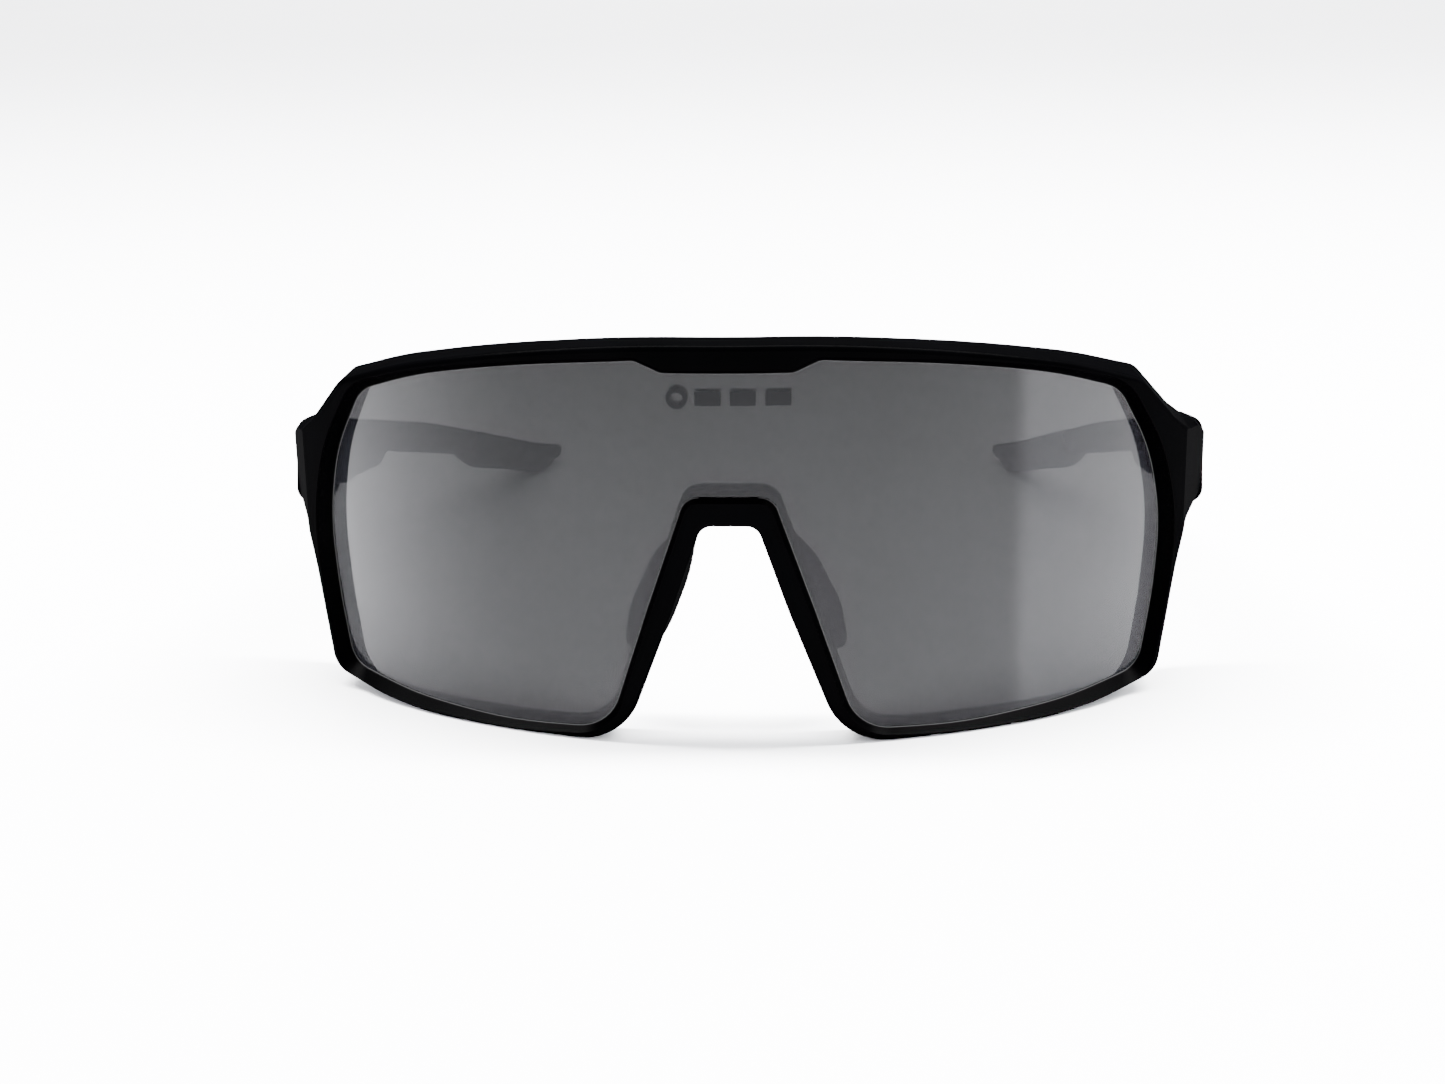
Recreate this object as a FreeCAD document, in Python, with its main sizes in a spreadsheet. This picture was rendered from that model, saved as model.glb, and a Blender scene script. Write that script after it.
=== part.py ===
"""Wraparound shield sunglasses, standing open on a table.

Shared frame: +X towards the wearer's left, +Y towards the wearer, +Z up, origin on the table under the
middle of the bounding box. The front stands upright on two flat feet under its lower rims and the two arms
slope down to their tips. The front is drawn in its own frame, whose origin is on the table under the brow's
front face. Each arm and its hinge are drawn in the hinge frame: x outward, y along the arm, z along the hinge
screw. The wearer's left side is drawn, and the right side is its mirror image.
"""
import FreeCAD, Part
import math
import os

from FreeCAD import Placement, Rotation, Vector

os.makedirs("parts", exist_ok=True)
doc = FreeCAD.newDocument("sunglasses")

# ---------------------------------------------------------------- driving dimensions, in mm and degrees
SIZES = {
    "front_reach": 83.8,       # origin forward to the brow's front face
    "front_height": 60.05,
    "face_radius": 95.0,       # upright cylinder of the frame's front face
    "face_round": 0.9,         # rounding of the front face's outer edge
    "facet_x": 68.9,           # the lug's outer wall turns outward from this ridge
    "facet_y": 30.3,
    "facet_turn": 20.5,
    "back_low_radius": 84.5,   # the frame's back is a cone about the lens's axis: radius at the table
    "back_top_radius": 83.0,   # and at the brow
    "arch_depth": 7.6,         # the nose arch, front to back
    "lens_radius": 88.0,       # outer face of the lens
    "lens_recess": 1.2,        # frame's face back to the lens, on the centre line
    "lens_thick": 2.0,
    "lens_bite": 0.8,          # how far the lens's edge goes into its groove
    "groove_play": 0.1,
    "rim_flare": 0.62,         # the opening widens forward by this much per millimetre
    "rear_lip": 0.3,           # the opening behind the lens is smaller by this much
    "side_flare": 0.45,        # and widens backward towards the temples,
    "flare_start": 35.0,       # from this far out
    "flare_run": 20.0,         # to the full amount over this distance
    "hinge_x": 68.3,           # hinge screw's axis out from the centre line
    "hinge_y": 41.0,           # and back from the brow's front face
    "arm_slope": 15.1,         # arms slope down from the hinge to the table
    "arm_bend": 440.0,         # plan radius with which the arms curve inward
    "arm_outer": 2.6,          # hinge axis out to the outer face
    "block_proud": 2.0,        # the arm's outer face starts further out, level with the lug,
    "block_fade": 18.0,        # and comes in over this length
    "arm_inner": 0.9,          # hinge axis out to the inner face
    "arm_thick": 3.6,          # past the hinge block
    "arm_round": 0.8,
    "block_corner": 1.6,       # extra rounding of the outer corners at the hinge, fading out along the block
    "butt_gap": 0.1,           # half the gap between lug and arm
    "lug_high": 9.2,           # hinge axis's middle up to the lug's top
    "lug_low": 7.2,
    "grip_thick": 5.0,
    "grip_round": 1.3,
    "tang_thick": 2.0,         # the arm's tail inside its grip
    "joint_gap": 0.05,         # between arm and grip
    "barrel_radius": 1.5,
    "barrel_half": 3.0,        # half the stack of three barrels
    "barrel_mid": 1.0,         # half the middle barrel
    "barrel_play": 0.05,
    "scallop_play": 0.3,       # room round the barrels in lug and arm
    "pin_radius": 0.7,
    "bore_radius": 0.75,
    "pin_head_radius": 1.25,
    "pin_head_high": 0.7,
    "leaf_inner": 0.5,         # hinge axis out to the leaf's inner face
    "leaf_thick": 1.0,
    "leaf_start": 1.7,
    "leaf_end": 6.2,
    "screw_near": 2.7,         # leaf screws, from the hinge axis
    "screw_far": 4.8,
    "screw_radius": 0.5,
    "screw_head_radius": 0.85,
    "screw_head_high": 0.4,
    "screw_length": 1.7,
    "hole_play": 0.05,         # round the leaf screws in the leaves
    "tap_play": 0.02,          # and in the nylon
    "slot_wide": 0.3,
    "pad_thick": 2.3,
    "pad_round": 0.9,
    "pad_splay": 45.0,         # the pad's wing leans outward from straight back
    "clip_thick": 0.8,
    "slot_play": 0.1,
}

sheet = doc.addObject("Spreadsheet::Sheet", "sizes")
for row, (alias, value) in enumerate(SIZES.items(), 1):
    sheet.set(f"A{row}", alias)
    sheet.set(f"B{row}", str(value))
    sheet.setAlias(f"B{row}", alias)
doc.recompute()


def size(alias):
    """A driving dimension, read from the sheet."""
    return float(sheet.get(alias))


def bind(thing, **expressions):
    """Binds properties to the sheet, so that "lens_radius / 2" becomes sizes.lens_radius / 2."""
    for prop, text in expressions.items():
        words = [f"sizes.{word}" if word in SIZES else word for word in text.split()]
        thing.setExpression(prop.replace("__", "."), " ".join(words))
    return thing


# ---------------------------------------------------------------- outlines
def rounded(corners):
    """Lines and tangent arcs of the closed outline through corners given as (a, b, radius)."""
    arcs = []
    for i, (a, b, radius) in enumerate(corners):
        here = Vector(a, b, 0)
        back = (Vector(*corners[i - 1][:2], 0) - here).normalize()
        ahead = (Vector(*corners[(i + 1) % len(corners)][:2], 0) - here).normalize()
        half = back.getAngle(ahead) / 2
        reach = radius / math.tan(half)
        middle = here + (back + ahead).normalize() * (radius / math.sin(half) - radius)
        arcs.append((here + back * reach, middle, here + ahead * reach))
    geometry = []
    for i, arc in enumerate(arcs):
        geometry.append(Part.Arc(*arc))
        geometry.append(Part.LineSegment(arc[2], arcs[(i + 1) % len(arcs)][0]))
    return geometry


def mirrored(half):
    """The closed outline whose +X half is given from the top down to the bottom."""
    return half + [(-a, b, radius) for a, b, radius in reversed(half)]


def grown(corners, extra):
    """A clockwise outline moved outward by extra, each corner's radius growing or shrinking with it."""
    moved = []
    for i, (a, b, radius) in enumerate(corners):
        here = Vector(a, b, 0)
        inward = (here - Vector(*corners[i - 1][:2], 0)).normalize()
        outward = (Vector(*corners[(i + 1) % len(corners)][:2], 0) - here).normalize()
        turn = inward.cross(outward).z
        normal = Vector(-inward.y - outward.y, inward.x + outward.x, 0).normalize()
        stretch = extra / math.cos(inward.getAngle(outward) / 2)
        corner = here + normal * stretch
        moved.append((corner.x, corner.y, radius + (extra if turn < 0 else -extra)))
    return moved


OUTER = mirrored([  # the front's edge: brow, temple corner, lug, side, foot, nose arch
    (15.0, 60.05, 160), (35.0, 57.95, 150), (50.0, 54.5, 60), (60.3, 50.5, 4.5), (66.4, 43.0, 4),
    (69.0, 40.6, 1.5), (71.3, 39.7, 1), (72.9, 37.7, 0.8), (72.9, 29.0, 0.8), (69.1, 26.4, 1.5),
    (67.5, 19.5, 60), (64.8, 2.9, 3.4), (55.0, 0.8, 40), (47.5, 0.0, 60), (16.3, 0.0, 10), (8.4, 20.7, 60),
    (4.0, 33.6, 2.2),
])
OPENING = mirrored([  # the opening's edge on the lens, with the brow's tab in the middle
    (9.4, 55.7, 3), (13.2, 57.4, 2), (32.0, 56.0, 150), (47.0, 52.9, 60), (57.0, 49.0, 6.5), (62.4, 38.6, 34),
    (64.8, 27.0, 40), (63.9, 15.0, 80), (61.9, 3.9, 3.5), (50.0, 2.2, 60), (34.0, 1.4, 100), (18.5, 2.1, 7),
    (12.4, 20.6, 60), (6.4, 37.9, 3),
])
# the area round the nose arch in which the front is deeper
ARCH_BACKING = mirrored([(11.0, 43.0, 3), (18.0, 22.0, 20), (24.5, -2.0, 1)])

ACROSS = Rotation(Vector(1, 0, 0), 90)       # sketch x, y become X, Z
FLAT = Rotation()


def prism(name, corners, turn, ahead, back="0", place=Placement()):
    """A rounded outline extruded along its plane's normal, ahead one way and back the other."""
    outline = doc.addObject("Sketcher::SketchObject", name + "_outline")
    outline.addGeometry(rounded(corners), False)
    outline.Placement = place.multiply(Placement(Vector(), turn))
    made = doc.addObject("Part::Extrusion", name)
    made.Base = outline
    made.DirMode = "Custom"
    made.Dir = place.Rotation.multVec(Vector(0, 1, 0) if turn is ACROSS else turn.multVec(Vector(0, 0, 1)))
    made.Solid = True
    return bind(made, LengthFwd=ahead, LengthRev=back)


def common(name, *shapes):
    made = doc.addObject("Part::MultiCommon", name)
    made.Shapes = list(shapes)
    return made


def fuse(name, *shapes):
    made = doc.addObject("Part::MultiFuse", name)
    made.Shapes = list(shapes)
    return made


def cut(name, base, *tools):
    made = doc.addObject("Part::Cut", name)
    made.Base = base
    made.Tool = tools[0] if len(tools) == 1 else fuse(name + "_tools", *tools)
    return made


def cylinder(name, radius, height, **place):
    return bind(doc.addObject("Part::Cylinder", name), Radius=radius, Height=height, **place)


def box(name, x, y, z, place=Placement()):
    """A box between pairs of lower and upper bounds, in the frame of place."""
    made = doc.addObject("Part::Box", name)
    made.Length, made.Width, made.Height = x[1] - x[0], y[1] - y[0], z[1] - z[0]
    made.Placement = place.multiply(Placement(Vector(x[0], y[0], z[0]), FLAT))
    return made


def mirror(name, source):
    made = doc.addObject("Part::Mirroring", name)
    made.Source = source
    made.Normal = Vector(1, 0, 0)
    return made


def feature(name, shape, place=Placement()):
    made = doc.addObject("Part::Feature", name)
    made.Shape = shape
    made.Placement = place
    return made


def round_edges(name, base, radius, chosen):
    """Rounds the edges of base for which chosen(edge) is true."""
    doc.recompute()
    numbers = [i for i, edge in enumerate(base.Shape.Edges, 1) if chosen(edge)]
    made = doc.addObject("Part::Fillet", name)
    made.Base = base
    made.Edges = [(i, size(radius), size(radius)) for i in numbers]
    return made


# ---------------------------------------------------------------- hinge frame of the wearer's left arm
# side outlines as (distance along the arm, height) points
ARM_LOW = [(0.0, -6.9), (9.0, -4.4), (19.0, -2.5), (28.0, -1.2), (32.5, -0.5), (36.5, 1.85), (38.5, 2.0),
           (92.0, 1.9)]
ARM_HIGH = [(0.0, 6.9), (8.0, 7.1), (18.0, 7.2), (48.0, 7.6), (64.0, 7.6), (76.0, 7.2), (92.0, 6.4)]
GRIP_LOW = [(78.0, 2.8), (83.0, 1.9), (91.0, -0.5), (95.0, -0.8), (110.0, -1.0), (120.0, -1.5), (123.0, -1.3),
            (131.0, 3.6)]
GRIP_HIGH = [(78.0, 6.9), (92.0, 6.5), (108.0, 5.5), (118.0, 4.9), (131.0, 4.6)]
TANG_LOW = [(78.0, 3.2), (102.0, 1.2), (116.0, 1.0)]
TANG_HIGH = [(78.0, 5.8), (116.0, 4.0)]
ARM_ENDS = (0.1, 90.1, 22)     # first station, last station and number of steps
GRIP_ENDS = (79.0, 129.9, 24)
TANG_ENDS = (78.0, 116.0, 4)
JOINT = (84.6, 4.3, 40.7)      # the arm ends on a plane through this y, z, leaning back by this angle


def level(table, along):
    """Height on a side outline given as points along the arm."""
    for (y0, z0), (y1, z1) in zip(table, table[1:]):
        if y0 <= along <= y1:
            return z0 + (z1 - z0) * (along - y0) / (y1 - y0)
    raise ValueError(f"{along} is off the outline")


def section(name, along, low, high, outer, thick, outer_round, inner_round, place=Placement()):
    """A rounded rectangle across the arm, its outer face on the arm's bend."""
    x = outer - along ** 2 / (2 * size("arm_bend"))
    most = 0.45 * (high - low)
    outer_round, inner_round = min(outer_round, most), min(inner_round, most)
    made = doc.addObject("Sketcher::SketchObject", name)
    made.addGeometry(rounded([(x - thick, low, inner_round), (x, low, outer_round),
                              (x, high, outer_round), (x - thick, high, inner_round)]), False)
    made.Placement = place.multiply(Placement(Vector(0, along, 0), ACROSS))
    return made


def stations(ends):
    first, last, steps = ends
    return [first + (last - first) * i / steps for i in range(steps + 1)]


def loft(name, sections):
    made = doc.addObject("Part::Loft", name)
    made.Sections = sections
    made.Solid = True
    made.MaxDegree = 3
    return made


def arm_face(along):
    """The outer face's distance from the hinge axis, without the bend."""
    return size("arm_outer") + size("block_proud") * max(0, 1 - along / size("block_fade")) ** 2


def arm_section(number, along):
    """A station of the arm. Its inner face is flat over the hinge block, then follows the bend."""
    outer = arm_face(along)
    thick = max(size("arm_thick"), outer - along ** 2 / (2 * size("arm_bend")) - size("arm_inner"))
    corner = size("arm_round") + max(0, size("block_corner") * (1 - along / 30))
    return section(f"arm{number}", along, level(ARM_LOW, along), level(ARM_HIGH, along), outer, thick, corner,
                   size("arm_round"), HINGE)


def grip_sections(name, place):
    proud = (size("grip_thick") - size("arm_thick")) / 2
    return [section(f"{name}{i}", y, level(GRIP_LOW, y), level(GRIP_HIGH, y), size("arm_outer") + proud,
                    size("grip_thick"), size("grip_round"), size("grip_round"), place)
            for i, y in enumerate(stations(GRIP_ENDS))]


slope_turn = Rotation(Vector(1, 0, 0), -size("arm_slope"))
trial_grip = loft("trial_grip", grip_sections("trial", Placement(Vector(), slope_turn)))
doc.recompute()
hinge_height = -trial_grip.Shape.optimalBoundingBox(False).ZMin
HINGE = Placement(Vector(size("hinge_x"), size("hinge_y"), hinge_height), slope_turn)


# ---------------------------------------------------------------- front frame
def face_points(corners, radius, front_line, flare):
    """The wire of an outline laid on an upright cylinder, moved outward by flare(x) per millimetre ahead of
    the lens."""
    lens_axis = size("lens_recess") + size("lens_radius")
    axis = front_line + radius
    edges = []
    for piece in rounded(corners):
        curve = piece.toShape()
        points = []
        steps = 9 if curve.Length > 3 else 4
        for i in range(steps + 1):
            at = curve.FirstParameter + (curve.LastParameter - curve.FirstParameter) * i / steps
            spot, along = curve.valueAt(at), curve.tangentAt(at)
            lens_y = lens_axis - math.sqrt(size("lens_radius") ** 2 - spot.x ** 2)
            here_y = axis - math.sqrt(radius ** 2 - spot.x ** 2)
            spot += Vector(-along.y, along.x, 0) * flare(spot.x) * (lens_y - here_y)
            points.append(Vector(spot.x, axis - math.sqrt(radius ** 2 - spot.x ** 2), spot.y))
        edges.append(points)
    curves = []
    for i, points in enumerate(edges):
        points[-1] = edges[(i + 1) % len(edges)][0]
        curve = Part.BSplineCurve()
        curve.interpolate(points)
        curves.append(curve.toShape())
    return Part.Wire(curves)


BEHIND_ALL, AHEAD_OF_ALL = 60, -20  # upright planes clear of the front's material


def flattened(wire, y):
    """The wire pressed onto the upright plane at y."""
    curves = []
    for edge in wire.OrderedEdges:
        curve = edge.Curve.copy()
        for i, pole in enumerate(curve.getPoles(), 1):
            curve.setPole(i, Vector(pole.x, y, pole.z))
        curves.append(curve.toShape())
    return Part.Wire(curves)


def front_flare(x):
    """The front opening widens forward by the same amount everywhere."""
    return size("rim_flare")


def rear_flare(x):
    """Towards the temples the rear opening widens backward, and near the nose it runs straight."""
    return -size("side_flare") * min(1, max(0, (abs(x) - size("flare_start")) / size("flare_run")))


def flared_solid(corners, behind, ahead, flare):
    """A solid through an outline laid on two upright cylinders, carried on straight past both."""
    rings = [face_points(corners, *behind, flare), face_points(corners, *ahead, flare)]
    ends = flattened(rings[0], BEHIND_ALL), flattened(rings[1], AHEAD_OF_ALL)
    return Part.makeLoft([ends[0], *rings, ends[1]], True, True)


def about_lens(behind):
    """Radius and front line of a cylinder round the lens's axis, behind the lens's outer face."""
    return size("lens_radius") - behind, size("lens_recess") + behind


def upright(name, radius, front_line):
    """An upright cylinder with its front line front_line behind the brow's face, 10 mm over at both ends."""
    return cylinder(name, radius, "front_height + 20", Placement__Base__y=f"{front_line} + {radius}",
                    Placement__Base__z="-10")


def on_front_edge(edge):
    """True for the edges in which the side walls meet the cylindrical front face."""
    radius, axis = size("face_radius"), size("face_radius")
    return all(abs(math.hypot(v.X, v.Y - axis) - radius) < 1e-3 for v in edge.Vertexes) and edge.Length > 1e-3


outer_prism = prism("outer_prism", OUTER, ACROSS, "55", "5")
blank = common("front_blank", outer_prism, upright("face_cylinder", "face_radius", "0"))
blank = round_edges("front_rounded", blank, "face_round", on_front_edge)
ridge = Vector(size("facet_x"), size("facet_y"), 0)
facet_place = Placement(ridge, Rotation(Vector(0, 0, 1), -size("facet_turn")))
facet = box("facet", (0, 8), (-20, 30), (20, 50), facet_place)  # takes in all of the lug's height
blank = cut("faceted_blank", blank, facet, mirror("facet_right", facet))

back_cone = doc.addObject("Part::Cone", "back_cone")
bind(back_cone, Radius1="back_low_radius", Radius2="back_top_radius", Height="front_height + 1",
     Placement__Base__y="lens_recess + lens_radius", Placement__Base__z="-1")
arch_backing = prism("arch_backing", ARCH_BACKING, ACROSS, "arch_depth", "1")
hollow = cut("hollow", back_cone, arch_backing)
# everything behind the plane on which the arm butts is cleared
butt_room = box("butt_room", (-6, 14), (-size("butt_gap"), 30), (-size("lug_low") - 1, 20), HINGE)
shell = cut("front_shell", blank, hollow, butt_room, mirror("butt_room_right", butt_room))
lug_space = box("lug_space", (size("arm_inner"), 16), (-14, -size("butt_gap")),
                (-size("lug_low"), size("lug_high")), HINGE)
lug = common("lug", blank, lug_space)


def lens_shell(name, outline, play):
    """The space of the lens, grown by play in thickness, inside a grown outline."""
    outer = upright(name + "_outer", "lens_radius", "lens_recess")
    bind(outer, Radius=f"lens_radius + {play}")
    inner = upright(name + "_inner", "lens_radius", "lens_recess")
    bind(inner, Radius=f"lens_radius - lens_thick - {play}")
    outline_prism = prism(name + "_prism", outline, ACROSS, "50", "5")
    return cut(name, common(name + "_blank", outline_prism, outer), inner)


groove = lens_shell("groove", grown(OPENING, size("lens_bite") + size("groove_play")), "groove_play")
mid_lens = upright("mid_lens", "lens_radius", "lens_recess + lens_thick / 2")
bind(mid_lens, Radius="lens_radius - lens_thick / 2",
     Placement__Base__y="lens_recess + lens_radius")
OVERLAP = 0.4  # how far each opening's flared stretch runs past the lens's outer face
PAST_FACE = 2
ahead_of_face = size("face_radius") + PAST_FACE, -PAST_FACE
BACK_DEPTH = 4  # the frame's back lies about this far behind the lens's outer face
front_flared = flared_solid(OPENING, about_lens(OVERLAP), ahead_of_face, front_flare)
front_opening = cut("front_opening", feature("front_flared", front_flared), mid_lens)
rear_flared = flared_solid(grown(OPENING, -size("rear_lip")), about_lens(BACK_DEPTH), about_lens(-OVERLAP),
                           rear_flare)
rear_opening = common("rear_opening", feature("rear_flared", rear_flared), mid_lens)

# ---------------------------------------------------------------- hinges
def barrel(name, low, high, radius="barrel_radius"):
    """A cylinder round the hinge axis between two heights."""
    made = cylinder(name, radius, str(high - low))
    made.Placement = HINGE.multiply(Placement(Vector(0, 0, low), FLAT))
    return made


def across_hinge(name, radius, start, end, y):
    """A cylinder along the hinge frame's x axis, for the leaf screws and their holes."""
    made = cylinder(name, radius, str(end - start))
    made.Placement = HINGE.multiply(Placement(Vector(start, y, 0), Rotation(Vector(0, 1, 0), 90)))
    return made


play = size("barrel_play")
leaf_in, leaf_out = size("leaf_inner"), size("leaf_inner") + size("leaf_thick")
half, mid = size("barrel_half"), size("barrel_mid")
screw_spots = (size("screw_near"), size("screw_far"))
head_under = leaf_in + size("screw_head_high")
screw_end = leaf_in + size("screw_length")


def leaf(name, side, knuckles):
    """One hinge leaf: plate, knuckles and necks. side is -1 for the front's leaf and +1 for the arm's."""
    ends = sorted((side * size("leaf_start"), side * size("leaf_end")))
    neck = sorted((0, side * (size("leaf_start") + 0.1)))
    solids = [box(name + "_plate", (leaf_in, leaf_out), ends, (-half, half), HINGE)]
    for i, (low, high) in enumerate(knuckles):
        solids.append(barrel(f"{name}_knuckle{i}", low, high))
        solids.append(box(f"{name}_neck{i}", (leaf_in, leaf_out), neck, (low, high), HINGE))
    holes = [barrel(name + "_bore", -half - 1, half + 1, "bore_radius")]
    for i, spot in enumerate(screw_spots):
        y = side * spot
        holes.append(across_hinge(f"{name}_hole{i}", "screw_radius + hole_play", leaf_in - 1, leaf_out + 1, y))
        holes.append(across_hinge(f"{name}_sink{i}", "screw_head_radius + hole_play", leaf_in - 1, head_under, y))
    return cut(name, fuse(name + "_solid", *solids), *holes)


def leaf_screws(name, side):
    """Two slotted screws through a leaf, as a group."""
    screws = []
    for i, spot in enumerate(screw_spots):
        shank = across_hinge(f"{name}_shank{i}", "screw_radius", head_under - 0.1, screw_end, side * spot)
        head = across_hinge(f"{name}_head{i}", "screw_head_radius", leaf_in, head_under, side * spot)
        slot = box(f"{name}_slot{i}", (leaf_in - 1, leaf_in + size("screw_head_high") / 2),
                   (side * spot - 1, side * spot + 1), (-size("slot_wide") / 2, size("slot_wide") / 2), HINGE)
        screws.append(cut(f"{name}_{i}", fuse(f"{name}_solid{i}", shank, head), slot))
    made = doc.addObject("Part::Compound", name)
    made.Links = screws
    return made


def leaf_room(name, side):
    """What a leaf, its screws and the barrels need cut from the lug or the arm."""
    far = size("leaf_end") + 0.1
    pocket = box(name + "_pocket", (-9, leaf_out + 0.05), sorted((0, side * far)),
                 (-half - 0.1, half + 0.1), HINGE)
    scallop = barrel(name + "_scallop", -half - 0.2, half + size("pin_head_high") + 0.4,
                     "barrel_radius + scallop_play")
    holes = [across_hinge(f"{name}_tap{i}", "screw_radius + tap_play", leaf_out - 0.5, screw_end + 0.2,
                          side * spot)
             for i, spot in enumerate(screw_spots)]
    return fuse(name, pocket, scallop, *holes)


front_hinge = leaf("front_hinge_left", -1, [(-half, -mid - play), (mid + play, half)])
temple_hinge = leaf("temple_hinge_left", 1, [(-mid, mid)])

pin_shank = barrel("pin_shank", -half + 0.1, half + 0.1, "pin_radius")
pin_head = barrel("pin_head", half + 0.02, half + size("pin_head_high"), "pin_head_radius")
pin_slot = box("pin_slot", (-2, 2), (-size("slot_wide") / 2, size("slot_wide") / 2),
               (half + size("pin_head_high") / 2, half + 2), HINGE)
hinge_screw = cut("hinge_screw_left", fuse("pin_solid", pin_shank, pin_head), pin_slot)

front_screws = leaf_screws("front_leaf_screws_left", -1)
temple_screws = leaf_screws("temple_leaf_screws_left", 1)

# ---------------------------------------------------------------- arms and grips
arm_loft = loft("arm_loft", [arm_section(i, y) for i, y in enumerate(stations(ARM_ENDS))])
tang_inset = (size("arm_thick") - size("tang_thick")) / 2
tang = loft("tang", [
    section(f"tang{i}", y, level(TANG_LOW, y), level(TANG_HIGH, y), size("arm_outer") - tang_inset,
            size("tang_thick"), 0.5, 0.5, HINGE)
    for i, y in enumerate(stations(TANG_ENDS))])
joint = HINGE.multiply(Placement(Vector(0, JOINT[0], JOINT[1]), Rotation(Vector(1, 0, 0), -JOINT[2])))
past_joint = box("past_joint", (-20, 20), (0, 30), (-20, 20), joint)
before_joint = box("before_joint", (-20, 20), (-30, size("joint_gap")), (-20, 20), joint)
temple = cut("temple_left", fuse("arm_with_tang", cut("arm_body", arm_loft, past_joint), tang),
             leaf_room("arm_room", 1))
grip_loft = loft("grip_loft", grip_sections("grip", HINGE))
grip = cut("temple_grip_left", grip_loft, before_joint, tang)

# ---------------------------------------------------------------- nose pads and their clips
# the pad's outline seen from its side, as (out from the root, along the pad, radius)
PAD_SIDE = [(1.4, -10.6, 1.6), (0.0, -4.0, 20), (0.0, 4.0, 20), (1.6, 10.4, 1.4), (4.0, 10.8, 2),
            (7.4, 4.0, 8), (8.3, -5.0, 8), (6.6, -11.2, 2)]
ARCH_LEAN = 21.0     # the arch's sides lean outward downward
PAD_ROOT = Vector(8.3, 9.2, 20.1)
PAD = Placement(PAD_ROOT, Rotation(Vector(0, 1, 0), -ARCH_LEAN))
WING = PAD.multiply(Placement(Vector(), Rotation(Vector(0, 0, 1), 90 - size("pad_splay"))))
CLIP_ACROSS = 3.0    # the clip's tongue, out from the pad's root
TONGUE_FRONT = -4.4  # and how far it reaches ahead of the root
TONGUE_HALF = 3.5
CLIP_OUT, CLIP_ALONG = (2.0, 6.2), (-6.5, 5.0)  # the clip's plate inside the wing
FOOT_OUT, FOOT_BACK, FOOT_HALF = (1.6, 4.4), 2.4, 4.5

clip_half = size("clip_thick") / 2
slot_play = size("slot_play")
clip_plate = box("clip_plate", CLIP_OUT, (-clip_half, clip_half), CLIP_ALONG, WING)
clip_tongue = box("clip_tongue", (CLIP_ACROSS - clip_half, CLIP_ACROSS + clip_half),
                  (TONGUE_FRONT, CLIP_ACROSS), (-TONGUE_HALF, TONGUE_HALF), PAD)
clip = fuse("nose_clip_left", clip_plate, clip_tongue)
clip_slot = box("clip_slot", (CLIP_ACROSS - clip_half - slot_play, CLIP_ACROSS + clip_half + slot_play),
                (TONGUE_FRONT - slot_play, CLIP_ACROSS), (-TONGUE_HALF - slot_play, TONGUE_HALF + slot_play), PAD)

wing_blank = prism("wing_blank", PAD_SIDE, ACROSS, "pad_thick / 2", "pad_thick / 2", WING)
wing = round_edges("wing", wing_blank, "pad_round", lambda edge: abs(
    WING.Rotation.inverted().multVec(edge.Vertexes[-1].Point - edge.Vertexes[0].Point).y) < 0.5)
foot_front = size("arch_depth") - PAD_ROOT.y + slot_play
foot = box("pad_foot", FOOT_OUT, (foot_front, FOOT_BACK), (-FOOT_HALF, FOOT_HALF), PAD)
pad = cut("nose_pad_left", fuse("pad_solid", wing, foot), clip_plate, clip_tongue)

# ---------------------------------------------------------------- front and lens
front_blank = fuse("front_with_lugs", shell, lug, mirror("lug_right", lug))
front_room = leaf_room("front_room", -1)
front_frame = cut("front_frame", front_blank, groove, front_opening, rear_opening, front_room,
                  mirror("front_room_right", front_room), clip_slot, mirror("clip_slot_right", clip_slot))
lens = lens_shell("shield_lens", grown(OPENING, size("lens_bite")), "0")

# ---------------------------------------------------------------- nodes
nodes = [front_frame, lens]
for drawn in (pad, clip, front_hinge, temple_hinge, hinge_screw, front_screws, temple_screws, temple, grip):
    bind(drawn, Placement__Base__y="0 - front_reach")
    nodes += [drawn, mirror(drawn.Name.replace("_left", "_right"), drawn)]
for whole in (front_frame, lens):
    bind(whole, Placement__Base__y="0 - front_reach")
doc.recompute()

broken = [thing.Name for thing in doc.Objects if {"Invalid", "Error"} & set(thing.State)]
if broken:
    raise SystemExit(f"objects that didn't compute: {broken}")
for node in nodes:
    node.Label = node.Name
    shape = node.Shape
    if shape.isNull() or not shape.isValid():
        raise SystemExit(f"{node.Label} isn't a valid shape")
    bounds = shape.optimalBoundingBox(False)
    print(f"{node.Label:26} {shape.Volume:9.1f} mm3, {len(shape.Solids)} solid(s), "
          f"x {bounds.XMin:.2f} {bounds.XMax:.2f}, y {bounds.YMin:.2f} {bounds.YMax:.2f}, "
          f"z {bounds.ZMin:.2f} {bounds.ZMax:.2f}")
    shape.exportStep(f"parts/{node.Label}.step")
print(f"hinge axis at {HINGE.Base.x:.3f}, {HINGE.Base.y - size('front_reach'):.3f}, {HINGE.Base.z:.3f}")
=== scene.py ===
"""Wraparound shield sunglasses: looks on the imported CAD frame."""
import math

import bpy
from mathutils import Matrix, Vector


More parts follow.
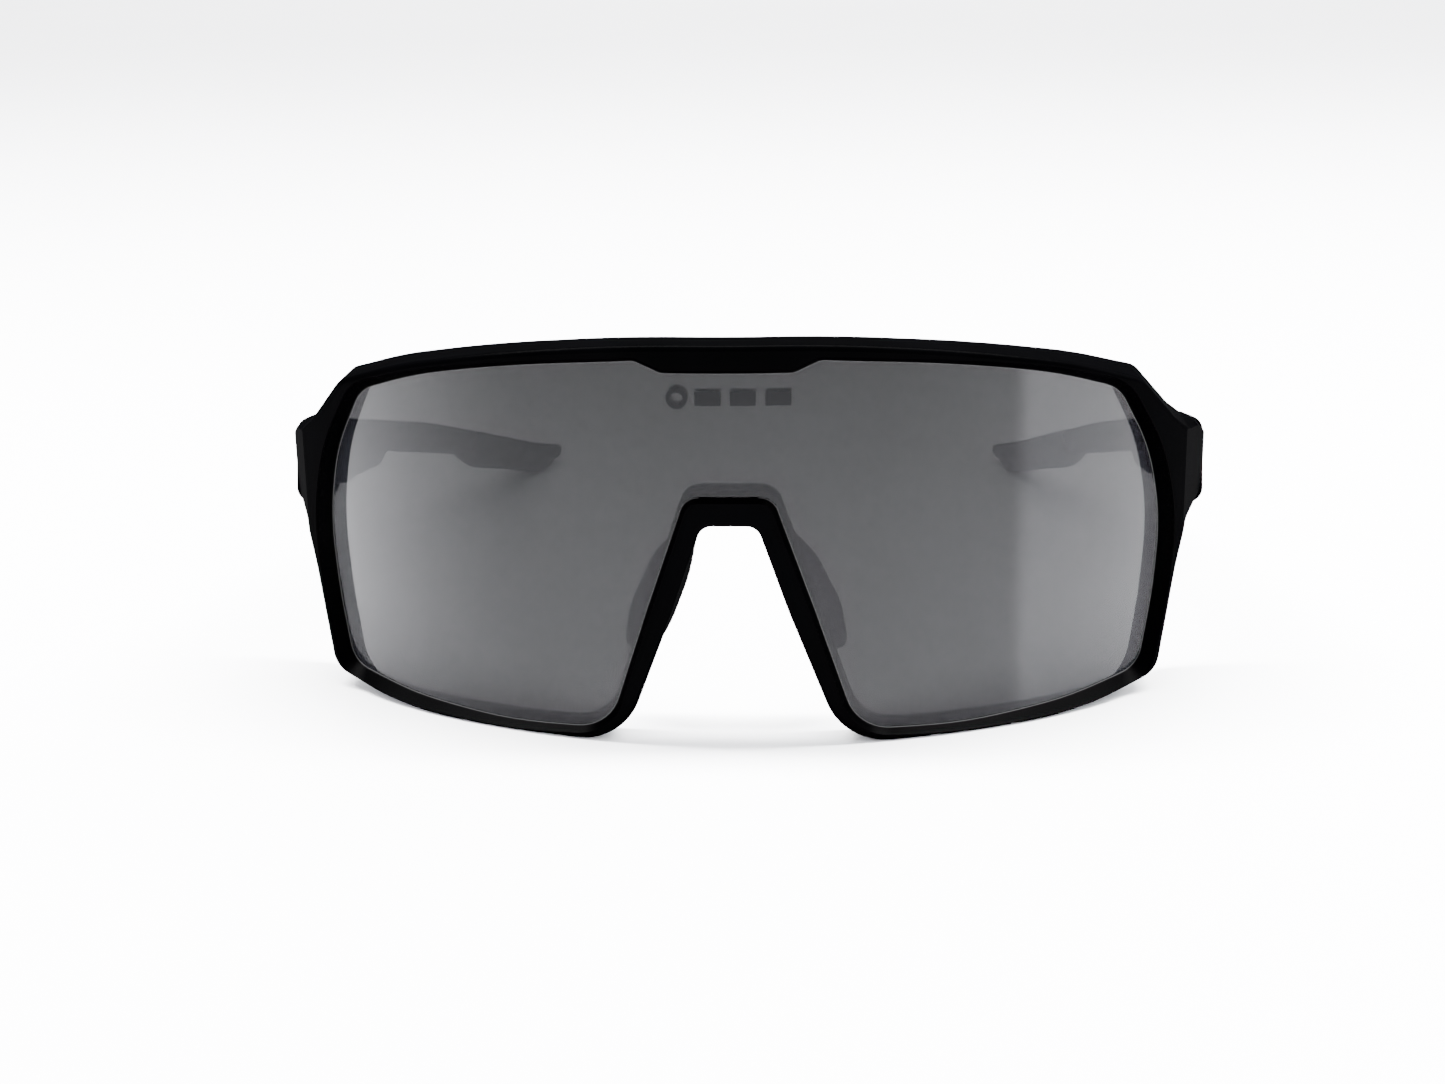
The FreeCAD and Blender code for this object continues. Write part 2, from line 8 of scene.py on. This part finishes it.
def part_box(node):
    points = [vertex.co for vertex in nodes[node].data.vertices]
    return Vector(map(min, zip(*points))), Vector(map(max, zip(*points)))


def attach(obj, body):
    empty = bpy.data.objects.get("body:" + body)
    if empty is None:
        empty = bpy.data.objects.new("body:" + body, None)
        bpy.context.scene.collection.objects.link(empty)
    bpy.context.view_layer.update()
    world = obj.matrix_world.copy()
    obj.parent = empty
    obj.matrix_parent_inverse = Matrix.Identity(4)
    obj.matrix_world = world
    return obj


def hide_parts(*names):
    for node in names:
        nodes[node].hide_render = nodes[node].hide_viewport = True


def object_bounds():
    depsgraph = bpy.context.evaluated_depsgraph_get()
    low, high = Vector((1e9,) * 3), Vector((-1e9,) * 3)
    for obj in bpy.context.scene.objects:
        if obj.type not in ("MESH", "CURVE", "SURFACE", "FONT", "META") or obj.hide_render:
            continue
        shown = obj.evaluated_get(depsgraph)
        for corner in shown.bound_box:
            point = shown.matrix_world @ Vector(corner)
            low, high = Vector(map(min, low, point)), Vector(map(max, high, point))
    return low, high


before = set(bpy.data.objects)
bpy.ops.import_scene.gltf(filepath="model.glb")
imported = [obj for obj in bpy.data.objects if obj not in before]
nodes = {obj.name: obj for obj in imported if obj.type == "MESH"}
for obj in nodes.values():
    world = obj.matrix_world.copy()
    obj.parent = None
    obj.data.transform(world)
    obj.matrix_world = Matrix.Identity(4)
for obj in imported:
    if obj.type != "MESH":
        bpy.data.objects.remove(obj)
cad_low, cad_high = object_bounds()
SIDES = ("left", "right")
LENS_RADIUS = 0.088
ARM_SLOPE = math.radians(15.1)  # arms slope down from the hinges to the table


def lens_axis_y():
    """The lens's face is a cylinder round an upright axis behind its foremost line."""
    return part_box("shield_lens")[0][1] + LENS_RADIUS


# ---------------------------------------------------------------- camera
CAMERA_ASIDE = 0.01897   # to the wearer's left of the middle
CAMERA_AHEAD = 0.2965    # in front of the front
CAMERA_HIGH = 0.12059
CAMERA_YAW, CAMERA_PITCH, CAMERA_ROLL = math.radians(3.836), math.radians(16.681), math.radians(-1.0)
CAMERA_LENS = 54.09      # millimetres, for a sensor 36 mm wide


def add_camera():
    """The camera stands in front and above, a little to the wearer's left, and looks down at the lens."""
    yaw, pitch, roll = CAMERA_YAW, CAMERA_PITCH, CAMERA_ROLL
    ahead = Vector((-math.sin(yaw) * math.cos(pitch), math.cos(yaw) * math.cos(pitch), -math.sin(pitch)))
    level = Vector((math.cos(yaw), math.sin(yaw), 0))
    upward = level.cross(ahead)
    right = math.cos(roll) * level + math.sin(roll) * upward
    up = math.cos(roll) * upward - math.sin(roll) * level
    data = bpy.data.cameras.new("camera")
    data.lens = CAMERA_LENS
    data.sensor_width = 36
    data.clip_start = 0.01
    camera = bpy.data.objects.new("camera", data)
    bpy.context.collection.objects.link(camera)
    turn = Matrix((right, up, -ahead)).transposed().to_4x4()
    place = Vector((CAMERA_ASIDE, cad_low.y - CAMERA_AHEAD, CAMERA_HIGH))
    camera.matrix_world = Matrix.Translation(place) @ turn
    bpy.context.scene.camera = camera


# ---------------------------------------------------------------- node helpers
class Nodes:
    """Builds one material's node tree."""

    def __init__(self, name):
        self.material = bpy.data.materials.new(name)
        self.material.use_nodes = True
        self.tree = self.material.node_tree
        self.shader = self.tree.nodes["Principled BSDF"]

    def add(self, kind, **values):
        """A node; values set its sockets or properties, and a node output given as a value is linked."""
        node = self.tree.nodes.new(kind)
        for key, value in values.items():
            if key in node.inputs:
                self.put(node.inputs[key], value)
            else:
                setattr(node, key, value)
        return node

    def put(self, socket, value):
        if isinstance(value, bpy.types.NodeSocket):
            self.tree.links.new(value, socket)
        else:
            socket.default_value = value

    def set(self, **values):
        """Sets the shader's sockets: Base_Color=... stands for "Base Color"."""
        for key, value in values.items():
            self.put(self.shader.inputs[key.replace("_", " ")], value)

    def place(self):
        return self.add("ShaderNodeTexCoord").outputs["Object"]

    def noise(self, scale, detail=4.0, roughness=0.5):
        return self.add("ShaderNodeTexNoise", Vector=self.place(), Scale=scale, Detail=detail,
                        Roughness=roughness).outputs["Fac"]

    def split(self, vector):
        return self.add("ShaderNodeSeparateXYZ", Vector=vector).outputs

    def sum(self, first, second):
        node = self.add("ShaderNodeMath", operation="ADD")
        self.put(node.inputs[0], first)
        self.put(node.inputs[1], second)
        return node.outputs[0]

    def product(self, first, second):
        node = self.add("ShaderNodeMath", operation="MULTIPLY")
        self.put(node.inputs[0], first)
        self.put(node.inputs[1], second)
        return node.outputs[0]

    def shifted(self, value, centre):
        return self.sum(value, -centre)

    def distance(self, value, centre):
        return self.add("ShaderNodeMath", operation="ABSOLUTE", Value=self.shifted(value, centre)).outputs[0]

    def power(self, value, exponent):
        node = self.add("ShaderNodeMath", operation="POWER")
        self.put(node.inputs[0], self.add("ShaderNodeMath", operation="ABSOLUTE", Value=value).outputs[0])
        self.put(node.inputs[1], exponent)
        return node.outputs[0]

    def between(self, value, start, end, low, high, kind="LINEAR"):
        """Maps value from start..end to low..high and holds it there outside."""
        node = self.add("ShaderNodeMapRange", interpolation_type=kind, clamp=True)
        for key, number in zip(("Value", "From Min", "From Max", "To Min", "To Max"),
                               (value, start, end, low, high)):
            self.put(node.inputs[key], number)
        return node.outputs["Result"]

    def ramp(self, value, stops):
        """A colour ramp through (position, colour or grey) stops."""
        node = self.add("ShaderNodeValToRGB", Fac=value)
        elements = node.color_ramp.elements
        while len(elements) < len(stops):
            elements.new(0.5)
        for element, (position, colour) in zip(elements, stops):
            element.position = position
            element.color = (*colour, 1) if isinstance(colour, tuple) else (colour, colour, colour, 1)
        return node.outputs["Color"]

    def bump(self, height, strength, distance):
        return self.add("ShaderNodeBump", Height=height, Strength=strength, Distance=distance).outputs["Normal"]


# ---------------------------------------------------------------- materials
def moulded_nylon(name, dark, light, low_gloss, high_gloss, sheen_coat, painted_lens_edge_highlight=0.0):
    """Matte injection-moulded nylon: spark-eroded grain, faint flow mottling and uneven gloss.

    Given a lens-edge tone, it also paints a fine pale highlight line where the rim meets the lens.
    """
    made = Nodes(name)
    mottling_and_painted_highlight = made.ramp(made.noise(90.0, 5.0), [(0.35, dark), (0.65, light)])
    if painted_lens_edge_highlight:
        across, along, _ = made.split(made.place())
        behind = made.sum(along, -lens_axis_y())
        squared = made.sum(made.power(across, 2.0), made.power(behind, 2.0))
        near = made.between(squared, (LENS_RADIUS + 0.00030) ** 2, (LENS_RADIUS + 0.00020) ** 2, 0.0, 1.0)
        outside = made.between(squared, (LENS_RADIUS - 0.0002) ** 2, (LENS_RADIUS - 0.0001) ** 2, 0.0, 1.0)
        # Painted highlight: a pale line on the rim faces that look into the lens opening, close to the lens.
        line = made.product(made.product(near, outside), faces_opening(made))
        mix = made.add("ShaderNodeMix", data_type="RGBA", Factor=line)
        made.put(mix.inputs[6], mottling_and_painted_highlight)
        made.put(mix.inputs[7], (painted_lens_edge_highlight, painted_lens_edge_highlight, painted_lens_edge_highlight, 1.0))
        mottling_and_painted_highlight = mix.outputs[2]
    made.set(Base_Color=mottling_and_painted_highlight)
    made.set(Roughness=made.ramp(made.noise(420.0, 6.0), [(0.3, low_gloss), (0.7, high_gloss)]))
    made.set(Specular_IOR_Level=0.0, Coat_Weight=sheen_coat, Coat_Roughness=0.34)
    made.set(Normal=made.bump(made.noise(5200.0, 3.0, 0.6), 0.25, 0.00002))
    return made.material


HALF_MIDDLE_X, HALF_MIDDLE_Z = 0.036, 0.036  # middle of each half of the lens


def faces_opening(made):
    """One where the frame's surface faces the middle of the lens's half on its own side; it places the painted
    lens-edge highlight.
    """
    across, _, up = made.split(made.place())
    turn_across, _, turn_up = made.split(made.add("ShaderNodeTexCoord").outputs["Normal"])
    side = made.add("ShaderNodeMath", operation="SIGN", Value=across).outputs[0]
    sideways = made.product(made.shifted(made.distance(across, 0.0), HALF_MIDDLE_X),
                            made.product(side, turn_across))
    upright = made.product(made.shifted(up, HALF_MIDDLE_Z), turn_up)
    return made.between(made.sum(sideways, upright), 0.0, -0.0005, 0.0, 1.0)


def rubber(name):
    """Soft matte rubber with a fine dusty grain."""
    made = Nodes(name)
    dust = [(0.3, (0.0005, 0.0005, 0.0006)), (0.7, (0.0012, 0.0012, 0.0013))]
    made.set(Base_Color=made.ramp(made.noise(350.0, 6.0), dust))
    made.set(Roughness=made.ramp(made.noise(900.0, 4.0), [(0.3, 0.62), (0.7, 0.78)]))
    made.set(Specular_IOR_Level=0.0, Coat_Weight=0.012, Coat_Roughness=0.55)
    made.set(Normal=made.bump(made.noise(3500.0, 4.0, 0.7), 0.35, 0.00003))
    return made.material


MARK_HEIGHT, MARK_RING, MARK_DASHES = 0.0522, -0.0072, (-0.0028, 0.0022, 0.0072)


def mirror_lens(name):
    """Smoke polycarbonate with a flash mirror, and painted reflection towards the temples, the lower edge and
    at a sharp step on the wearer's left.
    """
    made = Nodes(name)
    across, _, up = made.split(made.place())
    # Painted reflection: coat weight and base colour rise towards both sides, past a sharp step on the wearer's
    # left and towards the lower edge.
    left = made.between(across, -0.028, -0.066, 0.0, 0.09, "SMOOTHSTEP")
    right = made.between(across, 0.0405, 0.0440, 0.0, 0.075, "SMOOTHSTEP")
    painted_reflection_slope = made.between(across, 0.022, 0.046, 0.0, 0.02)
    low = made.between(up, 0.056, 0.004, 0.0, 0.08)
    painted_reflection = made.sum(made.sum(left, right), made.sum(painted_reflection_slope, low))
    cloud = made.between(made.noise(55.0, 3.0), 0.3, 0.7, 0.94, 1.06)
    made.set(Coat_Weight=made.product(painted_reflection, cloud))
    smokes = [(0.3, (0.0006, 0.0007, 0.0010)), (0.7, (0.0010, 0.0011, 0.0015))]
    smoke = made.ramp(made.noise(60.0, 3.0), smokes)
    # The base colour turns a light grey where the reflection is painted.
    flash = made.add("ShaderNodeMix", data_type="RGBA", Factor=painted_reflection)
    made.put(flash.inputs[6], smoke)
    made.put(flash.inputs[7], (0.029, 0.029, 0.034, 1.0))
    made.set(Base_Color=flash.outputs[2])
    made.set(Roughness=made.ramp(made.noise(1500.0, 5.0), [(0.3, 0.05), (0.75, 0.09)]))
    made.set(Specular_IOR_Level=0.045, Coat_IOR=1.5, Coat_Roughness=0.06)
    made.set(Coat_Tint=(0.90, 0.91, 1.0, 1.0))
    # The lens is a little less see-through where the reflection is painted at the sides.
    clear = made.between(made.sum(left, right), 0.0, 0.09, 0.938, 0.912)
    made.set(Alpha=made.between(lens_mark(made, across, up), 0.0, 1.0, clear, 0.998))
    return made.material


def lens_mark(made, across, up):
    """One inside the plain tone-on-tone mark under the brow, a ring and three dashes, and zero elsewhere."""
    from_ring = made.sum(made.power(made.shifted(across, MARK_RING), 2.0),
                         made.power(made.shifted(up, MARK_HEIGHT), 2.0))
    mark = made.product(made.between(from_ring, 0.0016 ** 2, 0.0015 ** 2, 0.0, 1.0),
                        made.between(from_ring, 0.0008 ** 2, 0.0009 ** 2, 0.0, 1.0))
    for centre in MARK_DASHES:
        sideways = made.distance(across, centre)
        upright = made.distance(up, MARK_HEIGHT)
        dash = made.product(made.between(sideways, 0.0019, 0.0018, 0.0, 1.0),
                            made.between(upright, 0.0011, 0.0010, 0.0, 1.0))
        mark = made.sum(mark, dash)
    return mark


def steel(name, tone, gloss):
    """Stainless steel with fine brushing along the part."""
    made = Nodes(name)
    stretched = made.add("ShaderNodeMapping", Vector=made.place(), Scale=(900.0, 900.0, 14000.0))
    brushing = made.add("ShaderNodeTexNoise", Vector=stretched.outputs["Vector"], Scale=1.0,
                        Detail=3.0).outputs["Fac"]
    made.set(Base_Color=made.ramp(brushing, [(0.3, tuple(0.8 * c for c in tone)), (0.7, tone)]))
    made.set(Metallic=1.0, Roughness=made.ramp(brushing, [(0.3, gloss), (0.7, gloss + 0.12)]))
    made.set(Normal=made.bump(brushing, 0.15, 0.00002))
    return made.material


BLACK, BLUE_BLACK = (0.00006, 0.00006, 0.00010), (0.00015, 0.00014, 0.00022)
DARK_GREY, GREY = (0.0006, 0.0006, 0.0007), (0.0010, 0.0010, 0.0011)
FRAME_NYLON = moulded_nylon("frame_nylon", BLACK, BLUE_BLACK, 0.34, 0.46, 0.005, painted_lens_edge_highlight=0.02)
ARM_NYLON = moulded_nylon("arm_nylon", BLACK, BLUE_BLACK, 0.36, 0.48, 0.005)
CLIP_PLASTIC = moulded_nylon("clip_plastic", DARK_GREY, GREY, 0.35, 0.45, 0.02)
RUBBER = rubber("soft_rubber")
LENS = mirror_lens("mirror_lens")
HINGE_STEEL = steel("hinge_steel", (0.10, 0.10, 0.105), 0.26)
SCREW_STEEL = steel("screw_steel", (0.14, 0.14, 0.145), 0.20)


def paint(node, material):
    mesh = nodes[node].data
    mesh.materials.clear()
    mesh.materials.append(material)


paint("front_frame", FRAME_NYLON)
paint("shield_lens", LENS)
for side in SIDES:
    paint(f"temple_{side}", ARM_NYLON)
    paint(f"nose_clip_{side}", CLIP_PLASTIC)
    paint(f"front_hinge_{side}", HINGE_STEEL)
    paint(f"temple_hinge_{side}", HINGE_STEEL)
    for screw in ("hinge_screw", "front_leaf_screws", "temple_leaf_screws"):
        paint(f"{screw}_{side}", SCREW_STEEL)


# ---------------------------------------------------------------- rubber pieces
GRIP_PITCH, GRIP_DEPTH, GRIP_SLANT = 0.0022, 0.00016, 0.35
PAD_PITCH, PAD_DEPTH = 0.0013, 0.00007
VOXEL = 0.00022


def smooth(value, start, end):
    """Rises softly from zero at start to one at end."""
    t = min(1.0, max(0.0, (value - start) / (end - start)))
    return t * t * (3 - 2 * t)


def ridges(travel, pitch):
    """Rounded repeats between zero and one, flat for half of each pitch."""
    return max(0.0, math.cos(travel / pitch * 2 * math.pi)) ** 2


def grip_grooves(place, normal):
    """How deep the slanted grooves in a grip's broad faces are at a place."""
    along = place.y * math.cos(ARM_SLOPE) - place.z * math.sin(ARM_SLOPE)
    broad = max(0.0, abs(normal.x) - 0.7) / 0.3
    stretch = smooth(along, 0.050, 0.054) * (1 - smooth(along, 0.074, 0.078))
    return GRIP_DEPTH * broad * ridges(along + GRIP_SLANT * place.z, GRIP_PITCH) * stretch


def pad_grooves(place, normal):
    """How deep the fine level grooves in a pad's faces are at a place."""
    return PAD_DEPTH * (1 - abs(normal.z)) * ridges(place.z, PAD_PITCH) * smooth(place.z, 0.0125, 0.015)


def rubber_piece(node, body, grooves):
    """A finer, softer copy of a plain CAD rubber solid, with moulded grooves."""
    source = nodes[node]
    piece = bpy.data.objects.new(node + "_rubber", source.data.copy())
    bpy.context.collection.objects.link(piece)
    piece.matrix_world = source.matrix_world
    remesh = piece.modifiers.new("remesh", "REMESH")
    remesh.mode = "VOXEL"
    remesh.voxel_size = VOXEL
    soften = piece.modifiers.new("soften", "SMOOTH")
    soften.factor = 0.5
    soften.iterations = 5
    mesh = bpy.data.meshes.new_from_object(piece.evaluated_get(bpy.context.evaluated_depsgraph_get()))
    piece.modifiers.clear()
    piece.data = mesh
    normals = [vertex.normal.copy() for vertex in mesh.vertices]
    for vertex, normal in zip(mesh.vertices, normals):
        vertex.co = vertex.co - normal * grooves(vertex.co, normal)
    mesh.polygons.foreach_set("use_smooth", [True] * len(mesh.polygons))
    mesh.materials.clear()
    mesh.materials.append(RUBBER)
    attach(piece, body)
    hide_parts(node)


for side in SIDES:
    rubber_piece(f"temple_grip_{side}", f"arm_{side}", grip_grooves)
    rubber_piece(f"nose_pad_{side}", "front", pad_grooves)


# ---------------------------------------------------------------- floor and light
def add_floor():
    made = Nodes("paper_floor")
    papers = [(0.3, (0.80, 0.80, 0.81)), (0.7, (0.82, 0.82, 0.83))]
    made.set(Base_Color=made.ramp(made.noise(3.0, 3.0), papers))
    made.set(Roughness=0.75, Specular_IOR_Level=0.3)
    made.set(Normal=made.bump(made.noise(900.0, 4.0), 0.05, 0.0001))
    mesh = bpy.data.meshes.new("floor")
    reach = 6.0
    corners = [(-reach, -reach, 0), (reach, -reach, 0), (reach, reach, 0), (-reach, reach, 0)]
    mesh.from_pydata(corners, [], [(0, 1, 2, 3)])
    mesh.materials.append(made.material)
    floor = bpy.data.objects.new("floor", mesh)
    bpy.context.collection.objects.link(floor)


def add_light(name, place, target, width, height, power, colour=(1, 1, 1)):
    data = bpy.data.lights.new(name, "AREA")
    data.shape = "RECTANGLE"
    data.size, data.size_y = width, height
    data.energy = power
    data.color = colour
    light = bpy.data.objects.new(name, data)
    light.location = place
    light.rotation_euler = (Vector(target) - Vector(place)).to_track_quat("-Z", "Y").to_euler()
    bpy.context.collection.objects.link(light)


def add_world():
    world = bpy.data.worlds.new("studio")
    world.use_nodes = True
    sky = world.node_tree.nodes["Background"]
    sky.inputs["Color"].default_value = (0.93, 0.94, 0.98, 1)
    sky.inputs["Strength"].default_value = 3.2
    bpy.context.scene.world = world


add_camera()
add_floor()
add_world()
add_light("overhead", (0.0, 0.02, 0.9), (0, 0.0, 0), 1.6, 0.14, 170.0)
add_light("backdrop", (0.0, 2.6, 1.6), (0, 2.2, 0), 3.0, 2.0, 160.0)
add_light("window", (0.7, 0.25, 0.45), (0, 0, 0.03), 0.6, 0.7, 16.0, (0.96, 0.98, 1.0))
